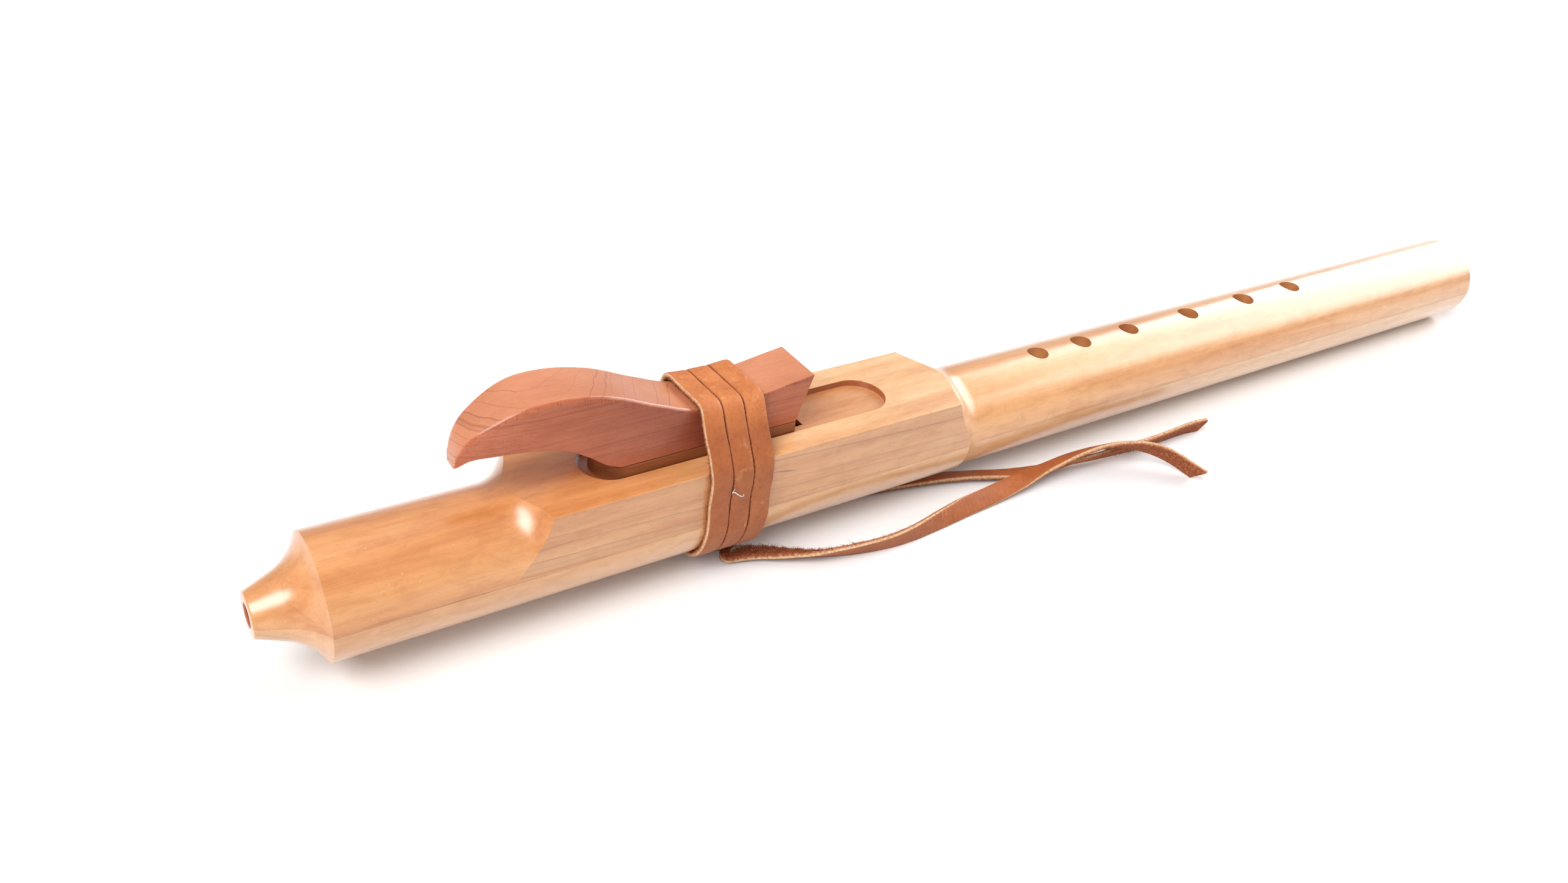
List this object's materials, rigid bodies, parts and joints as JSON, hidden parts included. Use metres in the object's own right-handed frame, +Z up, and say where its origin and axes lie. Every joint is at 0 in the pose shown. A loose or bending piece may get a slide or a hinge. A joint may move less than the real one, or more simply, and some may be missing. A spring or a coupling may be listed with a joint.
{
  "type": "native american flute",
  "caption": "Wooden duct flute with a flat-topped block, a tied bird block on a spacer plate, finger holes, and a flat leather lace with free tails.",
  "frame": {"origin": "centre of the underside of the flute's box without the free tails, on the surface that it lies on", "axes": "+X along the flute towards the foot, +Z up out of the finger holes, +Y to the player's left when +X points away"},
  "size_m": [0.498, 0.0664, 0.0683],
  "materials": {
    "body_wood": "satin lacquered light hardwood",
    "spacer_wood": "oiled tan hardwood",
    "cedar": "satin aromatic red cedar",
    "lace_leather": "matte caramel leather, suede flesh side"
  },
  "bodies": {
    "body": {"body_top_half": "body_wood", "body_bottom_half": "body_wood"},
    "tied_block": {"bird": "cedar", "spacer_plate": "spacer_wood", "lace_turn_1": "lace_leather", "lace_turn_2": "lace_leather", "lace_turn_3": "lace_leather", "lace_knot": "lace_leather", "lace_tail_near": "lace_leather", "lace_tail_far": "lace_leather"}
  },
  "joints": [
    {"name": "block_slide", "type": "slide", "parent": "body", "child": "tied_block", "axis": [1, 0, 0], "range_m": [-0.003, 0.006]}
  ]
}
